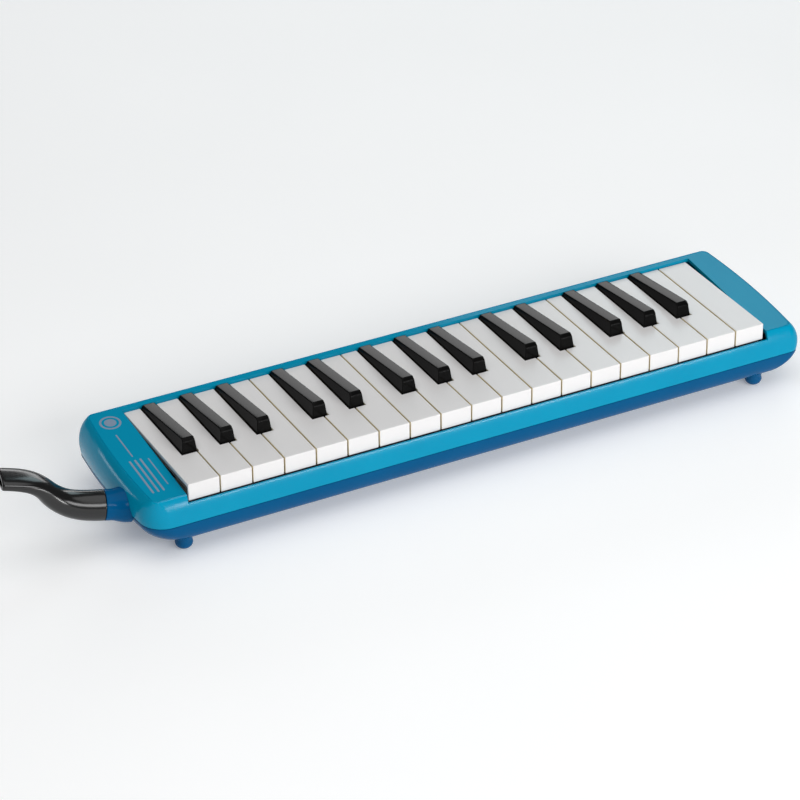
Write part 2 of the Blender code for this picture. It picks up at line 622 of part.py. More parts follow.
def mouthpiece_stations():
    """(centre, along, half width, half thickness) down the S shaped stem, from the joint to the lips."""
    ahead = Vector((SOCKET_AXIS.x, SOCKET_AXIS.y, 0)).normalized()
    rise = ((0, 0), (14, 1.9), (22, 4.5), (29.5, 14.2)), ((29.5, 14.2), (34.5, 20.7), (40, 23), (52, 25.5))
    sizes = ((8.25, 8.25), (8.2, 8.0), (8.0, 7.4), (7.8, 6.6), (7.9, 5.9), (8.2, 5.2), (8.6, 4.6),
             (9.0, 4.0), (9.2, 3.6), (9.2, 3.4))
    stations = []
    for number, (half_width, half_thickness) in enumerate(sizes):
        t = 2 * number / (len(sizes) - 1)
        curve, local = rise[min(int(t), 1)], t - min(int(t), 1)
        here, near = bezier([(*p, 0) for p in curve], local), bezier([(*p, 0) for p in curve], local - 0.01)
        step = (here - near).normalized()
        centre = JOINT_CENTRE + ahead * here.x + Vector((0, 0, here.y))
        along = ahead * step.x + Vector((0, 0, step.y))
        stations.append((centre, along, half_width, half_thickness))
    return stations


def section(centre, along, half_width, half_thickness, sides=16):
    """Oval ring square to the stem; it turns from round to a rounded slot as it gets flatter."""
    across = along.cross(Vector((0, 0, 1))).normalized()
    up = across.cross(along).normalized()
    power = 2 + 1.2 * (1 - half_thickness / half_width)
    ring = []
    for i in range(sides):
        angle = 2 * math.pi * i / sides
        c, s = math.cos(angle), math.sin(angle)
        ring.append(centre + across * half_width * math.copysign(abs(c) ** (2 / power), c)
                    + up * half_thickness * math.copysign(abs(s) ** (2 / power), s))
    return ring


def make_mouthpiece():
    stations = mouthpiece_stations()
    wall = 1.9
    start = SOCKET_AXIS
    rings = [section(along_axis(d), start, r, r) for d, r in (
        (-TENON_LENGTH, TENON_RADIUS - 0.4), (-TENON_LENGTH + 0.6, TENON_RADIUS), (-7.1, TENON_RADIUS),
        (-7.1, 5.3), (-4.9, 5.3), (-4.9, TENON_RADIUS), (REST_GAP, TENON_RADIUS),
        (REST_GAP, TUBE_RADIUS - 0.3), (REST_GAP + 0.4, TUBE_RADIUS))]
    rings += [section(*station) for station in stations[1:]]
    centre, along, half_width, half_thickness = stations[-1]
    rings.append(section(centre + along * 1.0, along, half_width - 0.5, half_thickness - 0.5))
    rings.append(section(centre + along * 1.2, along, half_width - wall, half_thickness - wall))
    for centre, along, half_width, half_thickness in reversed(stations[1:]):
        rings.append(section(centre, along, half_width - wall, half_thickness - wall))
    rings.append(section(along_axis(2.0), start, 4.6, 4.6))
    rings.append(section(along_axis(-TENON_LENGTH), start, 4.6, 4.6))
    bm = ring_surface(rings + [rings[0]])
    bmesh.ops.remove_doubles(bm, verts=bm.verts, dist=0.000001)
    from_bmesh("mouthpiece", bm, black_plastic, pivot=place(*JOINT_CENTRE), smooth=True)


# ---- drain valve ----
def make_drain():
    """Push button in the treble end wall: its stem pushes a pad off the hole in the wind chamber."""
    origin, outwards = (0, DRAIN_Y, DRAIN_Z), (1, 0, 0)
    cap = ((0.0, BUTTON_END_X), (BUTTON_RADIUS - 1.3, BUTTON_END_X),
           (BUTTON_RADIUS - 0.4, BUTTON_END_X - 0.5), (BUTTON_RADIUS, BUTTON_END_X - 1.4),
           (BUTTON_RADIUS, COLLAR_X[1]), (COLLAR_RADIUS, COLLAR_X[1]), (COLLAR_RADIUS, COLLAR_X[0]),
           (STEM_RADIUS, COLLAR_X[0]), (STEM_RADIUS, STEM_END_X), (0.0, STEM_END_X))
    button = turned("drain_button", cap, origin, outwards, black_plastic, steps=16)
    clip_radius, inside = 2 * STEM_RADIUS, 0.5 * STEM_RADIUS
    clip = turned("cut_stem_clip", ((clip_radius, CLIP_END_X), (clip_radius, STEM_END_X),
                                    (inside, STEM_END_X), (inside, CLIP_END_X)),
                  origin, outwards, steps=16, closed=True)
    join(button, clip)
    pad_start = CLIP_END_X + REST_GAP
    outer, bore = DRAIN_HOLE_RADIUS + 0.6, STEM_RADIUS + REST_GAP
    pad = ((outer, PAD_END_X), (outer, pad_start), (bore, pad_start), (bore, PAD_END_X))
    turned("drain_valve_pad", pad, origin, outwards, seal_rubber, steps=14, closed=True)
    make_drain_spring()


def make_drain_spring():
    """Coil round the stem, between the wind chamber's end wall and the button's collar."""
    turns, per_turn = 4, 10
    wire, coil_radius = 0.3, 3.2
    start, end = BLOCK_X[1] + REST_GAP + wire, COLLAR_X[0] - REST_GAP - wire
    curve = bpy.data.curves.new("spring_path", "CURVE")
    curve.dimensions = "3D"
    curve.bevel_depth = wire * MM
    curve.bevel_resolution = 1
    curve.use_fill_caps = True
    spline = curve.splines.new("POLY")
    count = turns * per_turn
    spline.points.add(count)
    for i, point in enumerate(spline.points):
        angle = 2 * math.pi * i / per_turn
        position = place(start + (end - start) * i / count, DRAIN_Y + coil_radius * math.cos(angle),
                         DRAIN_Z + coil_radius * math.sin(angle))
        point.co = (*position, 1.0)
    new_object("drain_spring", solid_from_curve("drain_spring", curve), spring_steel)


# ---- feet and screws ----
def make_feet():
    top = BOTTOM_Z + FOOT_INSET
    for tag, x, y in FEET:
        turned(f"foot_{tag}", ((0.0, top), (FOOT_RADIUS, top), (FOOT_RADIUS, FOOT_Z + 3.0),
                               (FOOT_RADIUS - 0.9, FOOT_Z + 1.2), (FOOT_RADIUS - 2.2, FOOT_Z), (0.0, FOOT_Z)),
               (x, y, 0), (0, 0, 1), blue_lower, steps=18)


def screw(name, x, y, head_z, head_radius, head_height, shank_radius, shank_length, up, sides=16):
    """Screw with a plain shank and a cross recess; up is 1 when the shank points up from the head."""
    head = rod(name, (x, y, head_z), (0, 0, up), head_height, head_radius, steel, sides=sides)
    shank = rod(f"cut_shank_{name}", (x, y, head_z + up * head_height / 2), (0, 0, up),
                head_height / 2 + shank_length, shank_radius, sides=12)
    join(head, shank)
    arm, half = head_radius * 0.6, 0.35
    low, high = sorted((head_z - up * 1.0, head_z + up * head_height * 0.45))
    for tag, dx, dy in (("a", arm, half), ("b", half, arm)):
        cut(head, boxes(f"cut_recess_{tag}_{name}", [((x - dx, y - dy, low), (x + dx, y + dy, high))]))


def make_screws():
    for tag, x, y in HOUSING_SCREWS:
        screw(f"housing_screw_{tag}", x, y, -33.3, 2.8, 2.3, 1.2, 17.0, 1)
    for tag, x in COMB_SCREWS:
        screw(f"comb_screw_{tag}", x, 35.0, -12.7, 2.2, 1.2, 0.8, 2.3, -1)


# ---- build ----
clear_scene()
parts = collection(NAME)
cutters = collection("cutters")

blue_upper = material("blue_upper", (0.004, 0.235, 0.43), 0.22, 0.25)
blue_lower = material("blue_lower", (0.002, 0.09, 0.26), 0.25, 0.25)
white_plastic = material("white_plastic", (0.80, 0.78, 0.76), 0.3)
black_plastic = material("black_plastic", (0.012, 0.012, 0.013), 0.15)
block_plastic = material("block_plastic", (0.52, 0.50, 0.46), 0.45)
brass = material("brass", (0.78, 0.57, 0.24), 0.3, 1.0)
steel = material("steel", (0.62, 0.62, 0.63), 0.3, 1.0)
spring_steel = material("spring_steel", (0.45, 0.46, 0.48), 0.35, 1.0)
seal_rubber = material("seal_rubber", (0.05, 0.05, 0.055), 0.7)
felt = material("felt", (0.055, 0.025, 0.03), 0.95)

axle_bore = rod("cut_axle_bore", (-10, AXLE_Y, AXLE_Z), (1, 0, 0), 380, KEY_BORE_RADIUS, sides=AXLE_SIDES)
socket_passage = rod("cut_socket_passage", along_axis(0.0), -SOCKET_AXIS, 20.5, TUBE_RADIUS + REST_GAP,
                     sides=28)

make_keys()
make_upper_housing()
make_lower_housing()
make_reed_block()
make_reed_plates()
make_reed_gasket()
make_wind_chamber()
make_axle_and_springs()
make_inlet()
make_mouthpiece()
make_drain()
make_feet()
make_screws()
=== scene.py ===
"""Looks of the melodica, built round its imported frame.

Places inside the functions are millimetres from the keyboard's front left top corner: x runs along
the keys from bass to treble, y towards the rear and z up.  at() turns them into metres in the
part's frame.
"""
import json
import math

import bmesh
import bpy
from mathutils import Matrix, Vector


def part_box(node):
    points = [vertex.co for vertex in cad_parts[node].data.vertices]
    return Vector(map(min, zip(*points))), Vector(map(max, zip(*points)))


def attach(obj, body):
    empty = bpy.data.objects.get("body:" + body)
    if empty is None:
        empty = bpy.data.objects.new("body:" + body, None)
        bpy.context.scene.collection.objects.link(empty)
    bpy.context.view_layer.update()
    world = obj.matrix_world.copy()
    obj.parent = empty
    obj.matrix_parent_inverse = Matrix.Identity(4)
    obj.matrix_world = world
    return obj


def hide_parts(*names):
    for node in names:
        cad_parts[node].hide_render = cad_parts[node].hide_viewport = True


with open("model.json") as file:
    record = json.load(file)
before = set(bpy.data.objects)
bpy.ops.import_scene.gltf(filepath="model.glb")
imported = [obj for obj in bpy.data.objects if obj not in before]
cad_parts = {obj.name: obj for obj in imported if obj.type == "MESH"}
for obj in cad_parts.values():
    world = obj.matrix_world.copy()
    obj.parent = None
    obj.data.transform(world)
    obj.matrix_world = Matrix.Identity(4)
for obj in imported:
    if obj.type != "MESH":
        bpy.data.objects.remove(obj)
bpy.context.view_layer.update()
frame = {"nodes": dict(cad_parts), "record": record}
record = frame["record"]
MM = 0.001

# ---- sizes of the object, millimetres ----
WHITE_PITCH, WHITE_COUNT, OCTAVE_WHITES = 18.5, 19, 7
KEY_GAP, KEY_LENGTH, KEY_PLATE, KEY_FRONT_DEPTH = 0.7, 81.7, 2.4, 9.8
KEY_FRONT_WALL, KEY_EDGE = 1.9, 0.45
BLACK_WIDTH, BLACK_TOP_WIDTH, BLACK_FRONT, BLACK_EDGE = 8.7, 6.7, 28.8, 0.42
BLACK_HEIGHT, BLACK_REAR_HEIGHT, BLACK_BOTTOM, BLACK_CROWN = 8.0, 1.7, -3.0, 0.10
BLACK_LEAN, BLACK_CHAMFER_DROP, BLACK_SHOULDER, BLACK_CHAMFER_SPREAD = 0.62, 1.75, 2.3, 0.2
BLACK_STATIONS = (38.0, 48.0, 60.0, 70.0)  # sections between the shoulder and the rear end
NOTCH_GAP, NOTCH_FRONT_GAP = 0.5, 0.9
BLACK_PATTERN = ((1, -3.9), (2, -0.5), (3, 2.3), (5, -2.0), (6, 1.5))
AXLE_Y, AXLE_Z, BORE_RADIUS = 64.0, -9.0, 1.57
LEVER_WIDTH, PAD_WIDTH, PAD_Y = 4.0, 7.0, (74.0, 84.0)
LEVER_BITE, LEVER_RIB_Z, HUB_DEPTH, HUB_HALF, RIB_END = 0.9, -8.2, 3.0, 4.0, 12.0
SEAT_Z, REST_GAP = -15.0, 0.3
WALL, SEAM_Z, BOTTOM_Z, FOOT_Z = 2.0, -21.0, -34.0, -41.0
RIM_BAND = 0.9  # upright strip along the meeting rims of the two housings
GROOVE_DEPTH, GROOVE_INSETS = 0.34, (0.12, 0.3, 0.5, 0.72)  # fine line between end flare and panel
TOP_FRONT_Z, TOP_SLOPE, RAIL_Z = -5.4, 0.0843, -10.0
LEFT_X, RIGHT_X, FRONT_Y, REAR_Y = -27.6, 376.5, -4.0, 93.5
END_FLARE, FRONT_FLARE, REAR_FLARE = 5.8, 3.7, 7.6
FLARE_POWER, FRONT_POWER = 3.0, 1.8
END_TUCK, LOWER_END_TUCK, LOWER_END_POWER = 1.6, 10.0, 1.7
LOWER_SIDE_TUCK, LOWER_SIDE_ROUND = 7.4, 0.985
END_BOW, TREBLE_SLANT, CREASE_RADIUS = 2.0, -1.6, 3.8
WIDEST_RADII = (13.5, 6.5, 6.5, 10.5)  # front left, front right, rear right, rear left
WINDOW_X, WINDOW_Y = (-0.7, 353.3), (-0.9, 82.0)
JOINT_CENTRE = Vector((-35.5, 28.0, -17.0))
SOCKET_AXIS = Vector((-0.973, 0.189, 0.13)).normalized()
TUBE_RADIUS, SOCKET_BORE, TENON_RADIUS, TENON_LENGTH = 8.25, 6.8, 6.5, 10.5
COLLAR_FLARE, COLLAR_START, COLLAR_STEP, COLLAR_END = 1.4, 3.0, 0.85, -14.0
INLET_RADIUS, INLET_BORE, TUBE_END = 6.5, 4.8, -22.0
SEAL_GROOVE, SEAL_GROOVE_RADIUS = (-7.1, -4.9), 5.3
STEM_WALL, PARTING_RIDGE = 1.9, 0.16
STEM_CURVES = (((0, 0), (14, 1.9), (22, 4.5), (29.5, 14.2)),
               ((29.5, 14.2), (34.5, 20.7), (40, 23), (52, 25.5)))  # (forward, up) from the joint
HALF_WIDTHS = (8.25, 8.2, 8.0, 7.8, 7.9, 8.2, 8.6, 9.0, 9.2, 9.2)
HALF_THICKNESSES = (8.25, 8.0, 7.4, 6.6, 5.9, 5.2, 4.6, 4.0, 3.6, 3.36)
LIP_RIM = ((0.35, 0.06), (0.7, 0.22), (0.95, 0.5), (1.1, 0.85), (1.18, 1.3), (1.1, 1.65),
           (0.8, 1.85))  # (beyond the end, inward) round the rolled edge
DRAIN_Y, DRAIN_Z, BUTTON_RADIUS, BUTTON_SEAT_X = 44.0, -25.3, 4.2, 364.4
BUTTON_STEM = ((BUTTON_RADIUS, 365.8), (BUTTON_RADIUS + 0.2, 365.6), (4.8, 365.6), (5.0, 365.4),
               (5.0, 364.6), (4.8, BUTTON_SEAT_X), (1.1, BUTTON_SEAT_X), (1.1, 348.8), (2.2, 348.8),
               (2.2, 347.6), (0.0, 347.6))  # (radius, x) from the cap to the clip
FOOT_RADIUS, POCKET_Z = 4.85, -30.7
FOOT_NECK = ((0.0, -31.0), (4.6, -31.0), (FOOT_RADIUS, -31.3), (FOOT_RADIUS, -33.8), (4.5, -34.3),
             (4.35, -34.9), (4.6, -35.7))  # (radius, z) above the ball
SCREW_HOLE = ((0, -36), (3.6, -36), (3.6, -34.2), (3.1, -33.6), (3.1, POCKET_Z), (1.6, POCKET_Z),
              (1.6, -28), (0, -28))
SCREW_HEAD_Z, SCREW_NECK_Z, THREAD_TURNS = -33.3, -31.0, 14
CROSS_RECESS = ((1.7, 0.35), (0.35, 1.7))
PRINT_THICKNESS = 0.06
RING_CENTRE, RING_RADII, DOT_RADIUS = (-10.7, 74.2), (5.9, 4.7), 3.3
BARS = (("mark_bar_thin", -12.4, 41.5, 63.0, 0.8), ("mark_bar_low", -15.6, 8.0, 38.5, 1.1),
        ("mark_bar_mid", -12.6, 8.0, 38.5, 1.1), ("mark_bar_high", -9.6, 8.0, 38.5, 1.1),
        ("mark_bar_side", -5.6, 12.0, 37.0, 0.7))  # name, x, low and high y, width
KEPT_NODES = ("inlet_gasket", "wind_chamber", "reed_block", "reed_gasket", "reed_plate_bass",
              "reed_plate_treble", "key_axle", "spring_comb", "key_felt", "drain_spring",
              "comb_screw_bass", "comb_screw_treble", "mouthpiece_seal", "drain_valve_pad")

# ---- light and camera ----
LIGHTS = (  # name, direction, distance, width and height in metres, brightness, colour
    ("light_top", (-0.1, -0.12, 1), 1.5, (2.2, 1.8), 1.15, (1, 1, 1)),
    ("light_front", (0.15, -1, 0.5), 1.7, (1.5, 0.5), 6.1, (1, 1, 1)),
    ("light_streak", (0.40, -0.91, 0.035), 1.3, (0.55, 0.09), 22.0, (1, 1, 1)),
    ("light_rear", (0.42, 0.95, 0.33), 1.6, (1.7, 0.24), 3.2, (1, 1, 1)),
    ("light_panel", (0.60, 0.60, 0.57), 1.7, (0.6, 0.6), 2.0, (0.75, 0.95, 1.0)),
    ("light_left", (-0.78, 0.62, 0.03), 1.2, (0.34, 0.10), 4.5, (1, 1, 1)),
)
LIGHT_AIM = Vector((0, 0, 0.02))
WORLD_COLOUR, WORLD_STRENGTH = (0.93, 0.96, 1.0, 1), 0.10
FLOOR_SIZE, FLOOR_GLOW = 5.0, 0.22
CAMERA_PLACE, CAMERA_LENS, CAMERA_SENSOR = (-579.49, -1347.51, 923.98), 151.69, 36.0
CAMERA_AXES = (Vector((0.88455, -0.46639, -0.00737)), Vector((0.24487, 0.45085, 0.85835)),
               Vector((-0.39700, -0.76106, 0.51301)))  # right, up and back

key_low, key_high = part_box("white_key_01")
ORIGIN = Vector((key_low.x - KEY_GAP / 2 * MM, key_low.y, key_high.z))
BODY_OF = {node: body for body, nodes in record["behaviour"]["bodies"].items() for node in nodes}
SLOT_OF = {part["node"]: part["material_slot"] for part in record["subparts"]}
foot_nodes = sorted(n for n in BODY_OF if n.startswith("foot_"))
screw_nodes = sorted(n for n in BODY_OF if n.startswith("housing_screw_"))


def at(x, y, z):
    """Metres in the part's frame for a place given in millimetres from the keyboard corner."""
    return ORIGIN + Vector((x, y, z)) * MM


def node_middle(node):
    """Middle of a node's box, in millimetres from the keyboard corner."""
    low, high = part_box(node)
    return ((low + high) / 2 - ORIGIN) / MM


# ---- materials ----
class Nodes:
    """Node tree of one material, with the few steps that all the finishes share."""

    def __init__(self, name):
        self.material = bpy.data.materials.new(name)
        self.material.use_nodes = True
        self.tree = self.material.node_tree
        self.shader = self.tree.nodes["Principled BSDF"]
        self.place = self.tree.nodes.new("ShaderNodeTexCoord").outputs["Object"]

    def add(self, kind, **values):
        node = self.tree.nodes.new(kind)
        for key, value in values.items():
            if key in node.inputs:
                node.inputs[key].default_value = value
            else:
                setattr(node, key, value)
        return node

    def link(self, start, end):
        self.tree.links.new(start, end)

    def noise(self, scale, detail=3.0, stretch=(1, 1, 1), roughness=0.5):
        """Noise value over the object; scale is in cycles per metre."""
        mapping = self.add("ShaderNodeMapping", Scale=stretch)
        self.link(self.place, mapping.inputs["Vector"])
        noise = self.add("ShaderNodeTexNoise", Scale=scale, Detail=detail, Roughness=roughness)
        self.link(mapping.outputs["Vector"], noise.inputs["Vector"])
        return noise.outputs["Fac"]

    def ramp(self, value, low, high, start=0.3, end=0.7):
        """Colours or greys between low and high as the value goes from start to end."""
        ramp = self.add("ShaderNodeValToRGB")
        stops = ramp.color_ramp.elements
        stops[0].position, stops[1].position = start, end
        stops[0].color, stops[1].color = [(*(c if isinstance(c, tuple) else (c, c, c)), 1.0)
                                          for c in (low, high)]
        self.link(value, ramp.inputs["Fac"])
        return ramp.outputs["Color"]

    def bump(self, value, depth_mm, strength=1.0, normal=None):
        """Bump of about that depth; a further bump may be stacked on it."""
        bump = self.add("ShaderNodeBump", Strength=strength, Distance=depth_mm * MM)
        self.link(value, bump.inputs["Height"])
        if normal is not None:
            self.link(normal, bump.inputs["Normal"])
        return bump.outputs["Normal"]

    def finish(self, colour=None, roughness=None, normal=None, **sockets):
        for name, value in (("Base Color", colour), ("Roughness", roughness), ("Normal", normal)):
            if value is not None:
                self.link(value, self.shader.inputs[name])
        for name, value in sockets.items():
            self.shader.inputs[name.replace("_", " ")].default_value = value
        return self.material


def gloss_plastic(name, light, dark, roughness, sides=None, **sockets):
    """Moulded plastic: cloudy pigment, patches of handling haze and a very slight orange peel.

    sides is a darker colour mixed onto the flanks that face left and right, as painted shade between
    neighbouring parts.
    """
    n = Nodes(name)
    colour = n.ramp(n.noise(38, 4), dark, light, 0.25, 0.75)
    if sides:
        # Painted shade: faces pointing left or right are mixed towards the sides colour.
        side_shade_normal = n.add("ShaderNodeSeparateXYZ")
        n.link(n.tree.nodes["Texture Coordinate"].outputs["Normal"], side_shade_normal.inputs["Vector"])
        across = n.add("ShaderNodeMath", operation="ABSOLUTE")
        n.link(side_shade_normal.outputs["X"], across.inputs[0])
        side_shade_mix = n.add("ShaderNodeMix", data_type="RGBA")
        n.link(n.ramp(across.outputs["Value"], 0.0, 1.0, 0.55, 0.95), side_shade_mix.inputs["Factor"])
        n.link(colour, side_shade_mix.inputs["A"])
        side_shade_mix.inputs["B"].default_value = (*sides, 1.0)
        colour = side_shade_mix.outputs["Result"]
    haze = n.ramp(n.noise(95, 6, roughness=0.62), roughness * 0.95, roughness * 1.07)
    peel = n.bump(n.noise(900, 2), 0.004, 0.3)
    return n.finish(colour, haze, peel, **sockets)


def moulded(name, light, dark, roughness=0.5, grain=2600):
    """Spark eroded matt moulding with a fine grain."""
    n = Nodes(name)
    colour = n.ramp(n.noise(60, 5), dark, light)
    rough = n.ramp(n.noise(grain / 4, 3), roughness * 0.85, roughness * 1.15)
    return n.finish(colour, rough, n.bump(n.noise(grain, 3), 0.02, 0.5))


def metal(name, light, dark, roughness, stretch=(1, 40, 40)):
    """Rolled or drawn metal with fine lines along x and a slight tarnish."""
    n = Nodes(name)
    tarnish = n.ramp(n.noise(140, 5), dark, light, 0.2, 0.8)
    lines = n.noise(160, 3, stretch)
    rough = n.ramp(lines, roughness * 0.75, roughness * 1.35)
    return n.finish(tarnish, rough, n.bump(lines, 0.01, 0.5), Metallic=1.0)


def rubber(name, light, dark):
    n = Nodes(name)
    colour = n.ramp(n.noise(220, 4), dark, light)
    rough = n.ramp(n.noise(500, 4), 0.55, 0.75)
    return n.finish(colour, rough, n.bump(n.noise(1800, 3), 0.03, 0.5))


def felt_finish(name, light, dark):
    """Pressed wool: tangled fibres over soft lumps."""
    n = Nodes(name)
    colour = n.ramp(n.noise(900, 8, roughness=0.7), dark, light, 0.35, 0.65)
    fibres = n.bump(n.noise(2600, 6, (1, 3, 3), 0.75), 0.15, 0.9)
    lumps = n.bump(n.noise(420, 3), 0.3, 0.5, fibres)
    return n.finish(colour, None, lumps, Roughness=0.95, Sheen_Weight=0.6, Sheen_Roughness=0.4)


WHITE, WHITE_DARK = (0.800, 0.785, 0.780), (0.788, 0.773, 0.766)


def make_materials():
    """Finish of every material slot, with one more for the end key and one for the printed marks."""
    return {
        "housing_upper": gloss_plastic("blue_upper", (0.0004, 0.285, 0.462), (0.0003, 0.266, 0.440),
                                       0.11, Specular_IOR_Level=0.12),
        # The lower housing and the feet are the upper housing's blue made much darker: painted shade on
        # the underside.
        "housing_lower": gloss_plastic("blue_lower", (0.0002, 0.090, 0.232), (0.0002, 0.080, 0.212),
                                       0.13, Specular_IOR_Level=0.06),
        "feet": gloss_plastic("blue_feet_painted_shade", (0.0002, 0.090, 0.235), (0.0002, 0.078, 0.205), 0.25,
                              Specular_IOR_Level=0.12),
        # The white keys' flanks get a darker beige sides colour, which is painted shade in the gaps
        # between keys.
        "white_keys": gloss_plastic("white_plastic", WHITE, WHITE_DARK, 0.24,
                                    sides=(0.80, 0.70, 0.47), Specular_IOR_Level=0.4),
        "white_end": gloss_plastic("white_end_key", WHITE, WHITE_DARK, 0.24, Specular_IOR_Level=0.4),
        "black_keys": gloss_plastic("black_plastic", (0.0050, 0.0048, 0.0046),
                                    (0.0038, 0.0038, 0.0039), 0.10, Specular_IOR_Level=0.05),
        "mouthpiece": gloss_plastic("black_mouthpiece", (0.0065, 0.0062, 0.0060),
                                    (0.0048, 0.0048, 0.005), 0.19, Specular_IOR_Level=0.6),
        "drain_button": gloss_plastic("black_button", (0.0100, 0.0095, 0.0095),
                                      (0.007, 0.007, 0.007), 0.2, Specular_IOR_Level=0.3),
        "reed_block": moulded("pale_block", (0.50, 0.48, 0.43), (0.44, 0.42, 0.37)),
        "wind_chamber": moulded("pale_chamber", (0.47, 0.45, 0.41), (0.41, 0.39, 0.35)),
        "reed_brass": metal("rolled_brass", (0.80, 0.58, 0.24), (0.62, 0.43, 0.17), 0.26),
        "steel": metal("zinc_steel", (0.62, 0.62, 0.64), (0.50, 0.50, 0.52), 0.3),
        "spring_steel": metal("blued_spring", (0.48, 0.49, 0.52), (0.36, 0.37, 0.40), 0.34, (40, 1, 40)),
        "seal": rubber("soft_seal", (0.045, 0.045, 0.048), (0.028, 0.028, 0.030)),
        "felt": felt_finish("dark_felt", (0.060, 0.027, 0.032), (0.040, 0.018, 0.022)),
        "print": gloss_plastic("grey_print", (0.235, 0.31, 0.42), (0.20, 0.27, 0.375), 0.35,
                               Specular_IOR_Level=0.4),
    }


# ---- mesh helpers ----
def make_object(name, mesh):
    obj = bpy.data.objects.new(name, mesh)
    bpy.context.scene.collection.objects.link(obj)
    return obj


def from_bmesh(name, bm):
    bmesh.ops.recalc_face_normals(bm, faces=bm.faces)
    mesh = bpy.data.meshes.new(name)
    bm.to_mesh(mesh)
    bm.free()
    return make_object(name, mesh)


def baked(obj, tools=()):
    """Applies an object's modifiers and removes the tool objects that they used."""
    bpy.context.view_layer.update()
    mesh = bpy.data.meshes.new_from_object(obj.evaluated_get(bpy.context.evaluated_depsgraph_get()))
    obj.modifiers.clear()
    old = obj.data
    obj.data = mesh
    bpy.data.meshes.remove(old)
    for tool in tools:
        used = tool.data
        bpy.data.objects.remove(tool)
        bpy.data.meshes.remove(used)


def boolean(obj, tool, operation="DIFFERENCE"):
    step = obj.modifiers.new(operation.title(), "BOOLEAN")
    step.operation, step.solver, step.object = operation, "EXACT", tool


def bevel(obj, width, segments=3, angle=40):
    step = obj.modifiers.new("Bevel", "BEVEL")
    step.width, step.segments, step.limit_method = width * MM, segments, "ANGLE"
    step.angle_limit = math.radians(angle)
    step.use_clamp_overlap = True


def smooth(obj, sharp=None):
    """Smooth shading with normals weighted by face size, so that flat faces stay flat."""
    obj.data.shade_smooth()
    if sharp is not None:
        obj.data.set_sharp_from_angle(angle=math.radians(sharp))
    step = obj.modifiers.new("Normals", "WEIGHTED_NORMAL")
    step.keep_sharp = True
    step.weight = 80


def piece(obj, node, finish=None):
    """Gives a finished piece its finish and its body, and hides the frame part that it stands for."""
    obj.data.materials.clear()
    obj.data.materials.append(finishes[finish or SLOT_OF[node]])
    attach(obj, BODY_OF[node])
    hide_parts(node)


def loft(rings, close_start=False, close_end=False, cyclic=False):
    """bmesh of a skin through rings of equally many points in millimetres."""
    bm = bmesh.new()
    loops = [[bm.verts.new(at(*point)) for point in ring] for ring in rings]
    pairs = list(zip(loops, loops[1:])) + ([(loops[-1], loops[0])] if cyclic else [])
    for first, second in pairs:
        count = len(first)
        for i in range(count):
            j = (i + 1) % count
            bm.faces.new((first[i], first[j], second[j], second[i]))
    if close_start:
        bm.faces.new(loops[0])
    if close_end:
        bm.faces.new(loops[-1])
    return bm


def prism(name, profile, x_low, x_high):
    """Side view outline of (y, z) points, drawn out from x_low to x_high."""
    bm = loft([[(x, y, z) for y, z in profile] for x in (x_low, x_high)], True, True)
    return from_bmesh(name, bm)


def box(name, low, high):
    profile = ((low[1], low[2]), (high[1], low[2]), (high[1], high[2]), (low[1], high[2]))
    return prism(name, profile, low[0], high[0])


def spun(name, profile, origin, axis, steps=64, cyclic=False):
    """Outline of (radius, height) points turned about an axis; points on the axis become caps."""
    axis = Vector(axis).normalized()
    side = axis.orthogonal().normalized()
    other = axis.cross(side)
    bm = bmesh.new()
    loops = []
    for radius, height in profile:
        centre = Vector(origin) + axis * height
        if radius == 0:
            loops.append([bm.verts.new(at(*centre))] * steps)
            continue
        turns = [2 * math.pi * i / steps for i in range(steps)]
        ring = [centre + (side * math.cos(turn) + other * math.sin(turn)) * radius for turn in turns]
        loops.append([bm.verts.new(at(*point)) for point in ring])
    pairs = list(zip(loops, loops[1:])) + ([(loops[-1], loops[0])] if cyclic else [])
    for first, second in pairs:
        for i in range(steps):
            j = (i + 1) % steps
            corners = []
            for vert in (first[i], first[j], second[j], second[i]):
                if vert not in corners:
                    corners.append(vert)
            bm.faces.new(corners)
    return from_bmesh(name, bm)


def arc(cx, cy, radius, start, end, steps):
    """Points of an arc, angles in degrees."""
    return [(cx + radius * math.cos(math.radians(start + (end - start) * i / steps)),
             cy + radius * math.sin(math.radians(start + (end - start) * i / steps)))
            for i in range(steps + 1)]


# ---- keyboard ----
def black_centres():
    """Centre x of every black key, by the number of the white boundary under it."""
    return {octave + boundary: (octave + boundary) * WHITE_PITCH + offset
            for octave in range(0, WHITE_COUNT, OCTAVE_WHITES) for boundary, offset in BLACK_PATTERN
            if octave + boundary < WHITE_COUNT - 1}


def lever_profile(front_y, plate_z):
    """Side view of the lever: a rib under the key, the hub round the axle and the tail over the pad."""
    hub_z = AXLE_Z - HUB_DEPTH
    return ((front_y, plate_z), (front_y, LEVER_RIB_Z), (AXLE_Y - RIB_END, LEVER_RIB_Z),
            (AXLE_Y - HUB_HALF, hub_z), (AXLE_Y + HUB_HALF, hub_z),
            (PAD_Y[0], hub_z + 0.6), (PAD_Y[1], hub_z + 0.6),
            (PAD_Y[1], -6.0), (KEY_LENGTH + 0.8, -2.9), (KEY_LENGTH - 1.2, plate_z))


def add_lever(key, x, front_y, plate_z):
    """Joins the bored lever and its pallet pad under a key."""
    half = LEVER_WIDTH / 2
    lever = prism("tool_lever", lever_profile(front_y, plate_z), x - half, x + half)
    pad = box("tool_pad", (x - PAD_WIDTH / 2, PAD_Y[0], SEAT_Z + REST_GAP),
              (x + PAD_WIDTH / 2, PAD_Y[1], AXLE_Z - 2.1))
    bore = spun("tool_bore", ((0, -20), (BORE_RADIUS, -20), (BORE_RADIUS, 20), (0, 20)),
                (x, AXLE_Y, AXLE_Z), (1, 0, 0), 24)
    boolean(key, lever, "UNION")
    boolean(key, pad, "UNION")
    boolean(key, bore)
    baked(key, (lever, pad, bore))


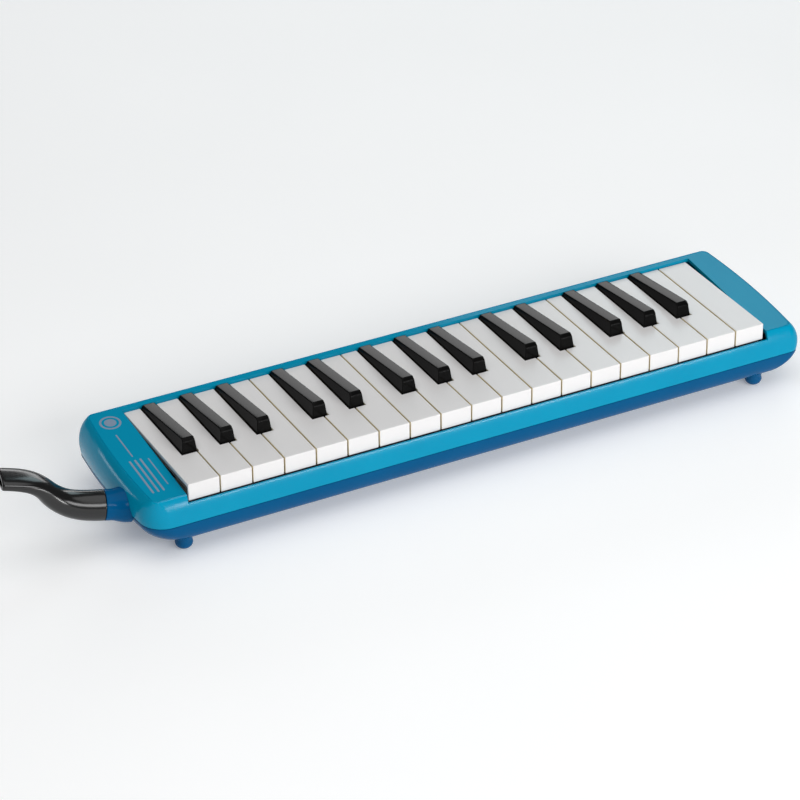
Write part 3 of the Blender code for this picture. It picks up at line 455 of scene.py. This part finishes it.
def white_key(index, centres):
    """One white key: a plate notched for its black neighbours, with a wall under its front edge."""
    left, right = index * WHITE_PITCH + KEY_GAP / 2, (index + 1) * WHITE_PITCH - KEY_GAP / 2
    half = BLACK_WIDTH / 2 + NOTCH_GAP
    notch_y = BLACK_FRONT - NOTCH_FRONT_GAP
    narrow_left = centres[index] + half if index in centres else left
    narrow_right = centres[index + 1] - half if index + 1 in centres else right
    bm = bmesh.new()

    def vert(x, y):
        return bm.verts.new(at(x, y, 0))

    a, b = vert(left, 0), vert(right, 0)
    c, d = vert(right, KEY_FRONT_WALL), vert(left, KEY_FRONT_WALL)
    strip = bm.faces.new((a, b, c, d))
    around = [d, c]
    if narrow_right != right:
        around += [vert(right, notch_y), vert(narrow_right, notch_y)]
    around += [vert(narrow_right, KEY_LENGTH), vert(narrow_left, KEY_LENGTH)]
    if narrow_left != left:
        around += [vert(narrow_left, notch_y), vert(left, notch_y)]
    plate = bm.faces.new(around)
    drawn = bmesh.ops.extrude_face_region(bm, geom=[strip, plate])
    moved = [v for v in drawn["geom"] if isinstance(v, bmesh.types.BMVert)]
    bmesh.ops.translate(bm, verts=moved, vec=(0, 0, -KEY_PLATE * MM))
    strip_low = [f for f in drawn["geom"] if isinstance(f, bmesh.types.BMFace)
                 and len(f.verts) == 4 and f.calc_center_median().y < at(0, KEY_FRONT_WALL, 0).y]
    lip = bmesh.ops.extrude_face_region(bm, geom=strip_low)
    moved = [v for v in lip["geom"] if isinstance(v, bmesh.types.BMVert)]
    bmesh.ops.translate(bm, verts=moved, vec=(0, 0, (KEY_PLATE - KEY_FRONT_DEPTH) * MM))
    bmesh.ops.delete(bm, geom=strip_low, context="FACES_ONLY")
    key = from_bmesh(f"shape_white_key_{index + 1:02d}", bm)
    bevel(key, KEY_EDGE)
    baked(key)
    add_lever(key, (narrow_left + narrow_right) / 2, 3.0, LEVER_BITE - KEY_PLATE)
    smooth(key, 50)
    piece(key, f"white_key_{index + 1:02d}", None if index else "white_end")


def black_row(y, z, half, crown=0.0, columns=4):
    """Points across a black key, with a slight crown in the middle."""
    return [(half * (2 * i / columns - 1), y, z + crown * (1 - (2 * i / columns - 1) ** 2))
            for i in range(columns + 1)]


def black_key(number, centre):
    """One black key: a tapered bar that falls towards the rear, with a steep front and eased edges."""
    low, top = BLACK_WIDTH / 2, BLACK_TOP_WIDTH / 2
    rear = KEY_LENGTH - 0.3
    shoulder = BLACK_FRONT + BLACK_SHOULDER
    height = BLACK_HEIGHT - BLACK_CROWN
    slope = (BLACK_REAR_HEIGHT - BLACK_HEIGHT) / (rear - shoulder)
    stations = (shoulder, *BLACK_STATIONS, rear)
    tops = [black_row(BLACK_FRONT, BLACK_BOTTOM, low), black_row(BLACK_FRONT, 0.0, low),
            black_row(BLACK_FRONT + BLACK_LEAN, BLACK_HEIGHT - BLACK_CHAMFER_DROP,
                      top + BLACK_CHAMFER_SPREAD)]
    tops += [black_row(y, height + slope * (y - shoulder), top, BLACK_CROWN) for y in stations]
    tops += [black_row(rear, 0.0, low), black_row(rear, BLACK_BOTTOM, low)]
    bm = bmesh.new()
    grid = [[bm.verts.new(at(x + centre, y, z)) for x, y, z in row] for row in tops]
    for first, second in zip(grid, grid[1:]):
        for i in range(len(first) - 1):
            bm.faces.new((first[i], first[i + 1], second[i + 1], second[i]))
    bm.faces.new(list(grid[0]) + list(reversed(grid[-1])))
    for side in (0, -1):
        front = [row[side] for row in grid[:3]]
        back = [row[side] for row in grid[-2:]]
        ridge = [row[side] for row in grid[3:-2]]
        feet = [bm.verts.new(at(centre + (low if side else -low), y, 0.0)) for y in stations[:-1]]
        bm.faces.new((front[1], front[2], ridge[0], feet[0]))
        for i in range(len(feet) - 1):
            bm.faces.new((feet[i], ridge[i], ridge[i + 1], feet[i + 1]))
        bm.faces.new((feet[-1], ridge[-2], ridge[-1], back[0]))
        bm.faces.new([front[0], front[1], *feet, back[0], back[1]])
    key = from_bmesh(f"shape_black_key_{number:02d}", bm)
    bevel(key, BLACK_EDGE, 4, 30)
    baked(key)
    add_lever(key, centre, BLACK_FRONT + 1.5, BLACK_BOTTOM + LEVER_BITE)
    smooth(key, 50)
    piece(key, f"black_key_{number:02d}")


def make_keys():
    centres = black_centres()
    for index in range(WHITE_COUNT):
        white_key(index, centres)
    for number, centre in enumerate(centres.values(), start=1):
        black_key(number, centre)


# ---- housings ----
def outline(left, right, front, rear, radii, bow, corner_steps=14, side_steps=12):
    """Plan outline with round corners, bowed ends and a slanting treble end, counter clockwise."""
    middle, reach = (front + rear) / 2, (rear - front) / 2
    corners = ((left + bow, 1, front, 1, 180), (right - bow, -1, front, 1, 270),
               (right - bow, -1, rear, -1, 0), (left + bow, 1, rear, -1, 90))
    centres = [(end + across * radius, side + along * radius)
               for radius, (end, across, side, along, _) in zip(radii, corners)]
    points = []
    for number, (radius, (cx, cy)) in enumerate(zip(radii, centres)):
        start = corners[number][4]
        points += [(x, y, number in (1, 2))
                   for x, y in arc(cx, cy, radius, start, start + 90, corner_steps)]
        if number in (1, 3):
            end_x, sign = (right, 1) if number == 1 else (left, -1)
            next_y = centres[(number + 1) % 4][1]
            for step in range(1, side_steps):
                share = step / side_steps
                points.append((end_x - sign * bow * (2 * share - 1) ** 2, cy + (next_y - cy) * share,
                               number == 1))
    return [(x + (TREBLE_SLANT * (y - middle) / reach if treble else 0.0), y)
            for x, y, treble in points]


def upper_ring(t, grow=0.0, sink=0.0):
    """Outline of the upper housing at t, which runs from 0 at the top crease to 1 at the seam."""
    flare = (1 - t) ** FLARE_POWER
    tuck = END_TUCK * t ** 3
    return [(x, y, (1 - t) * (TOP_FRONT_Z + TOP_SLOPE * y) + t * SEAM_Z - sink)
            for x, y in outline(LEFT_X + END_FLARE * flare + tuck - grow,
                                RIGHT_X - END_FLARE * flare - tuck + grow,
                                FRONT_Y + FRONT_FLARE * (1 - t) ** FRONT_POWER - grow,
                                REAR_Y - REAR_FLARE * flare + grow,
                                [widest + (CREASE_RADIUS - widest) * flare for widest in WIDEST_RADII],
                                END_BOW)]


def lower_ring(t, grow=0.0):
    """Outline of the lower housing at t, which runs from 0 at the seam to 1 at the flat bottom."""
    tuck_end = END_TUCK + LOWER_END_TUCK * t ** LOWER_END_POWER
    drop = 1 - math.sqrt(1 - (LOWER_SIDE_ROUND * t) ** 2)
    tuck_side = LOWER_SIDE_TUCK * drop / (1 - math.sqrt(1 - LOWER_SIDE_ROUND ** 2))
    z = SEAM_Z + (BOTTOM_Z - SEAM_Z) * t
    return [(x, y, z) for x, y in outline(LEFT_X + tuck_end - grow, RIGHT_X - tuck_end + grow,
                                          FRONT_Y + tuck_side - grow, REAR_Y - tuck_side + grow,
                                          [widest + 2 * t for widest in WIDEST_RADII], END_BOW)]


def lifted(ring, rise):
    return [(x, y, z + rise) for x, y, z in ring]


def shell(name, outside, inside):
    """Closed wall between an outer and an inner skin that both start at the rim."""
    bm = loft(list(reversed(inside)) + outside, True, True)
    return from_bmesh(name, bm)


def passage_tool():
    return spun("tool_passage", ((0, 0), (TUBE_RADIUS + REST_GAP, 0), (TUBE_RADIUS + REST_GAP, -20.5),
                                 (0, -20.5)), JOINT_CENTRE, SOCKET_AXIS, 64)


def make_upper_housing():
    """Flared rim and top panels, with the keyboard window and a fine groove round the crease."""
    steps = 18
    seam = [lifted(upper_ring(1.0), REST_GAP), lifted(upper_ring(1.0), RIM_BAND)]
    outside = seam + [upper_ring(1 - i / steps) for i in range(1, steps)]
    outside.append(upper_ring(0.02))
    outside += [upper_ring(0.0, -inset, sink)
                for inset, sink in zip(GROOVE_INSETS, (0.0, GROOVE_DEPTH, GROOVE_DEPTH, 0.0))]
    inside = [lifted(upper_ring(1.0, -WALL), REST_GAP), lifted(upper_ring(1.0, -WALL), RIM_BAND)]
    inside += [upper_ring(1 - i / 6, -WALL) for i in range(1, 6)] + [upper_ring(0.0, -WALL, WALL)]
    housing = shell("shape_upper_housing", outside, inside)
    front, rear = WINDOW_Y
    window = prism("tool_window", ((-12, 12), (-12, RAIL_Z), (front, RAIL_Z), (front, -30), (rear, -30),
                                   (rear, 12)), *WINDOW_X)
    passage = passage_tool()
    boolean(housing, window)
    boolean(housing, passage)
    bevel(housing, 0.45, 3, 38)
    baked(housing, (window, passage))
    smooth(housing, 60)
    piece(housing, "upper_housing")


def make_lower_housing():
    """Blue tray with a rounded belly, foot pockets and countersunk screw holes; its darker blue is
    painted shade.
    """
    steps = 16
    turns = [math.sin(math.pi / 2 * i / steps) for i in range(1, steps + 1)]
    outside = [lower_ring(0.0), lifted(lower_ring(0.0), -RIM_BAND)]
    outside += [lower_ring(t) for t in turns if t > 0.1]
    inside = [lower_ring(0.0, -WALL), lifted(lower_ring(0.0, -WALL), -RIM_BAND)]
    inside += [lifted(lower_ring(t, -WALL), WALL * t) for t in (0.3, 0.6, 0.85, 1.0)]
    housing = shell("shape_lower_housing", outside, inside)
    button_hole, foot_hole = BUTTON_RADIUS + REST_GAP, FOOT_RADIUS + REST_GAP
    button_tool = ((0, BUTTON_SEAT_X), (button_hole, BUTTON_SEAT_X), (button_hole, 381), (0, 381))
    foot_tool = ((0, -38), (foot_hole, -38), (foot_hole, POCKET_Z), (0, POCKET_Z))
    tools = [passage_tool(), spun("tool_drain", button_tool, (0, DRAIN_Y, DRAIN_Z), (1, 0, 0), 48)]
    for nodes, profile, sides in ((foot_nodes, foot_tool, 48), (screw_nodes, SCREW_HOLE, 40)):
        for node in nodes:
            x, y, _ = node_middle(node)
            tools.append(spun("tool_pocket", profile, (x, y, 0), (0, 0, 1), sides))
    for tool in tools:
        boolean(housing, tool)
    bevel(housing, 0.3, 2, 42)
    baked(housing, tools)
    smooth(housing, 60)
    piece(housing, "lower_housing")


def printed(name, edges, cyclic=False):
    """One printed mark from (outline, rise) pairs that lie on the bass end of the top panel."""
    rings = [[(x, y, TOP_FRONT_Z + TOP_SLOPE * y + rise) for x, y in edge] for edge, rise in edges]
    mark = from_bmesh(name, loft(rings, not cyclic, not cyclic, cyclic))
    mark.data.materials.append(finishes["print"])
    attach(mark, "body")


def make_ornament():
    """Plain ring, dot and bars printed on the bass end of the top panel."""
    low, high = -0.05, PRINT_THICKNESS
    outer, inner = (arc(*RING_CENTRE, radius, 0, 360, 72)[:-1] for radius in RING_RADII)
    printed("mark_ring", ((outer, low), (outer, high), (inner, high), (inner, low)), True)
    dot = arc(*RING_CENTRE, DOT_RADIUS, 0, 360, 48)[:-1]
    printed("mark_dot", ((dot, low), (dot, high)))
    for name, x, y_low, y_high, width in BARS:
        half = width / 2
        bar = arc(x, y_low + half, half, 180, 360, 10) + arc(x, y_high - half, half, 0, 180, 10)
        printed(name, ((bar, low), (bar, high)))


# ---- air inlet and mouthpiece ----
def make_socket():
    """Round socket whose flare follows the housing, with its tube into the wind chamber."""
    flare = [(TUBE_RADIUS - 0.35, 0.0), (TUBE_RADIUS - 0.1, -0.1), (TUBE_RADIUS, -0.35),
             (TUBE_RADIUS, -COLLAR_START)]
    flare += [(TUBE_RADIUS + COLLAR_FLARE * (1 - math.cos(math.pi * i / 10)) / 2,
               -COLLAR_START - COLLAR_STEP * i) for i in range(1, 11)]
    flare += [(TUBE_RADIUS + COLLAR_FLARE, COLLAR_END), (SOCKET_BORE, COLLAR_END),
              (SOCKET_BORE, -0.5), (SOCKET_BORE + 0.4, 0.0)]
    tube = ((TUBE_RADIUS, -1.0), (TUBE_RADIUS, -13.0), (INLET_RADIUS, -13.0), (INLET_RADIUS, TUBE_END),
            (INLET_BORE, TUBE_END), (INLET_BORE, -11.5), (SOCKET_BORE, -11.5), (SOCKET_BORE, -1.0))
    socket = spun("shape_air_inlet_socket", flare, JOINT_CENTRE, SOCKET_AXIS, 96, cyclic=True)
    inner = spun("tool_tube", tube, JOINT_CENTRE, SOCKET_AXIS, 96, cyclic=True)
    rings = [upper_ring(i / 10, 0.06) for i in range(11)]
    rings += [lower_ring(i / 8, 0.06) for i in range(1, 9)]
    envelope = from_bmesh("tool_envelope", loft(rings, True, True))
    boolean(socket, envelope)
    boolean(socket, inner, "UNION")
    baked(socket, (envelope, inner))
    smooth(socket, 35)
    piece(socket, "air_inlet_socket")


def bezier(points, t):
    """Point at t, from 0 to 1, on the curve with four control points."""
    a, b, c, d = (Vector(p) for p in points)
    s = 1 - t
    return a * s ** 3 + b * 3 * s * s * t + c * 3 * s * t * t + d * t ** 3


def between(values, t):
    """Smooth value at t, from 0 to 1, through evenly spaced values (Catmull-Rom)."""
    place = t * (len(values) - 1)
    i = min(int(place), len(values) - 2)
    f = place - i
    p0, p1 = values[max(i - 1, 0)], values[i]
    p2, p3 = values[i + 1], values[min(i + 2, len(values) - 1)]
    return 0.5 * (2 * p1 + (p2 - p0) * f + (2 * p0 - 5 * p1 + 4 * p2 - p3) * f * f
                  + (3 * p1 - p0 - 3 * p2 + p3) * f ** 3)


def stem_station(t):
    """Centre, direction and half sizes of the mouthpiece at t, from the joint to the lips."""
    ahead = Vector((SOCKET_AXIS.x, SOCKET_AXIS.y, 0)).normalized()
    curve = STEM_CURVES[min(int(2 * t), 1)]
    local = 2 * t - min(int(2 * t), 1)
    here, near = (bezier([(*p, 0) for p in curve], place) for place in (local, local - 0.01))
    step = (here - near).normalized()
    centre = JOINT_CENTRE + ahead * here.x + Vector((0, 0, here.y))
    along = ahead * step.x + Vector((0, 0, step.y))
    return centre, along, between(HALF_WIDTHS, t), between(HALF_THICKNESSES, t)


def section(centre, along, half_width, half_thickness, sides=96, ridge=0.0):
    """Oval ring square to the stem, with an optional parting ridge along both sides."""
    across = along.cross(Vector((0, 0, 1))).normalized()
    up = across.cross(along).normalized()
    power = 2 + 1.2 * (1 - half_thickness / half_width)
    ring = []
    for i in range(sides):
        angle = 2 * math.pi * i / sides
        c, s = math.cos(angle), math.sin(angle)
        side = half_width + ridge * math.exp(-(s / 0.05) ** 2)
        ring.append(centre + across * side * math.copysign(abs(c) ** (2 / power), c)
                    + up * half_thickness * math.copysign(abs(s) ** (2 / power), s))
    return ring


def make_mouthpiece():
    """Hollow S shaped mouthpiece: round tenon, curved stem and a flat lip end with a rolled rim."""
    steps, start = 60, 3
    groove_start, groove_end = SEAL_GROOVE
    tenon = ((-TENON_LENGTH, TENON_RADIUS - 0.4), (-TENON_LENGTH + 0.6, TENON_RADIUS),
             (groove_start, TENON_RADIUS), (groove_start, SEAL_GROOVE_RADIUS),
             (groove_end, SEAL_GROOVE_RADIUS), (groove_end, TENON_RADIUS), (REST_GAP, TENON_RADIUS),
             (REST_GAP, TUBE_RADIUS - 0.35), (REST_GAP + 0.1, TUBE_RADIUS - 0.1),
             (REST_GAP + 0.4, TUBE_RADIUS))
    point_on_axis = [JOINT_CENTRE + SOCKET_AXIS * d for d, _ in tenon]
    rings = [section(p, SOCKET_AXIS, r, r) for p, (_, r) in zip(point_on_axis, tenon)]
    for i in range(start, steps + 1):
        t = i / steps
        rings.append(section(*stem_station(t), ridge=PARTING_RIDGE * min(1.0, t * 3)))
    centre, along, half_width, half_thickness = stem_station(1.0)
    for beyond, inward in LIP_RIM:
        rings.append(section(centre + along * beyond, along, half_width - inward,
                             half_thickness - inward))
    for i in range(steps, start, -3):
        centre, along, half_width, half_thickness = stem_station(i / steps)
        rings.append(section(centre, along, half_width - STEM_WALL, half_thickness - STEM_WALL))
    for distance in (2.0, -TENON_LENGTH):
        rings.append(section(JOINT_CENTRE + SOCKET_AXIS * distance, SOCKET_AXIS, 4.6, 4.6))
    stem = from_bmesh("shape_mouthpiece", loft(rings, cyclic=True))
    smooth(stem, 40)
    piece(stem, "mouthpiece")


# ---- drain button, feet and screws ----
def make_drain_button():
    """Round cap, collar and stem of the drain button, with the clip on its inner end."""
    cap = [(0.0, 377.8), (1.4, 377.79)] + [(r, x) for x, r in arc(376.7, 3.1, 1.1, 0, 90, 8)]
    button = spun("shape_drain_button", [*cap, *BUTTON_STEM], (0, DRAIN_Y, DRAIN_Z), (1, 0, 0), 64)
    smooth(button, 35)
    piece(button, "drain_button")


def make_feet():
    """Round studs that swell into a ball below the housing."""
    ball_z, ball_radius = -37.0, 4.0
    ball = [(FOOT_RADIUS * r / ball_radius, z) for r, z in arc(0, ball_z, ball_radius, 0, -90, 12)[:-1]]
    for node in foot_nodes:
        x, y, _ = node_middle(node)
        foot = spun(f"shape_{node}", [*FOOT_NECK, *ball, (1.6, -40.98), (0.0, FOOT_Z)], (x, y, 0),
                    (0, 0, 1), 56)
        smooth(foot, 60)
        piece(foot, node)


def make_screws():
    """Pan heads with a cross recess and a threaded shank."""
    head, neck = SCREW_HEAD_Z, SCREW_NECK_Z
    thread = []
    for i in range(THREAD_TURNS):
        thread += [(1.2, neck + i * 1.0 + 0.25), (1.05, neck + i * 1.0 + 0.75)]
    profile = [(0.0, head), (2.2, head), (2.6, head + 0.25), (2.8, head + 0.7), (2.8, -31.3),
               (2.5, neck), *thread, (0.5, -14.2), (0.0, -14.0)]
    for node in screw_nodes:
        x, y, _ = node_middle(node)
        screw = spun(f"shape_{node}", profile, (x, y, 0), (0, 0, 1), 40)
        tools = [box("tool_recess", (x - a, y - b, head - 1), (x + a, y + b, head + 1.0))
                 for a, b in CROSS_RECESS]
        for tool in tools:
            boolean(screw, tool)
        baked(screw, tools)
        smooth(screw, 40)
        piece(screw, node)


def finish_inner_parts():
    """Finishes for the frame's own inner parts, whose shapes stay as they are."""
    for node, obj in frame["nodes"].items():
        if node in KEPT_NODES:
            obj.data.materials.clear()
            obj.data.materials.append(finishes[SLOT_OF[node]])


# ---- stage ----
def area_light(name, direction, distance, size, strength, colour):
    """Soft box of that width and height along a direction; strength is its brightness."""
    lamp = bpy.data.lights.new(name, "AREA")
    lamp.shape, lamp.size, lamp.size_y = "RECTANGLE", *size
    lamp.energy = strength * math.pi * size[0] * size[1]
    lamp.color = colour
    obj = make_object(name, lamp)
    away = Vector(direction).normalized()
    obj.location = LIGHT_AIM + away * distance
    obj.rotation_mode = "QUATERNION"
    obj.rotation_quaternion = away.to_track_quat("Z", "Y")


def make_stage():
    """Pale floor, dim surroundings and the soft boxes."""
    n = Nodes("pale_floor")
    tone = n.ramp(n.noise(3, 2), (0.90, 0.90, 0.90), (0.93, 0.93, 0.93))
    n.finish(tone, n.ramp(n.noise(40, 3), 0.7, 0.8), None, Specular_IOR_Level=0.1,
             Emission_Strength=FLOOR_GLOW)
    bm = bmesh.new()
    bmesh.ops.create_grid(bm, x_segments=8, y_segments=8, size=FLOOR_SIZE)
    floor = from_bmesh("floor", bm)
    floor.data.materials.append(n.material)
    world = bpy.data.worlds.new("studio")
    bpy.context.scene.world = world
    world.use_nodes = True
    background = world.node_tree.nodes["Background"]
    background.inputs["Color"].default_value = WORLD_COLOUR
    background.inputs["Strength"].default_value = WORLD_STRENGTH
    for light in LIGHTS:
        area_light(*light)


def make_camera():
    camera = bpy.data.cameras.new("camera")
    camera.lens, camera.sensor_width = CAMERA_LENS, CAMERA_SENSOR
    obj = make_object("camera", camera)
    turn = Matrix(CAMERA_AXES).transposed().to_4x4()
    obj.matrix_world = Matrix.Translation(at(*CAMERA_PLACE)) @ turn
    bpy.context.scene.camera = obj


bpy.context.scene.view_settings.view_transform = "Standard"
finishes = make_materials()
make_keys()
make_upper_housing()
make_lower_housing()
make_ornament()
make_socket()
make_mouthpiece()
make_drain_button()
make_feet()
make_screws()
finish_inner_parts()
make_stage()
make_camera()
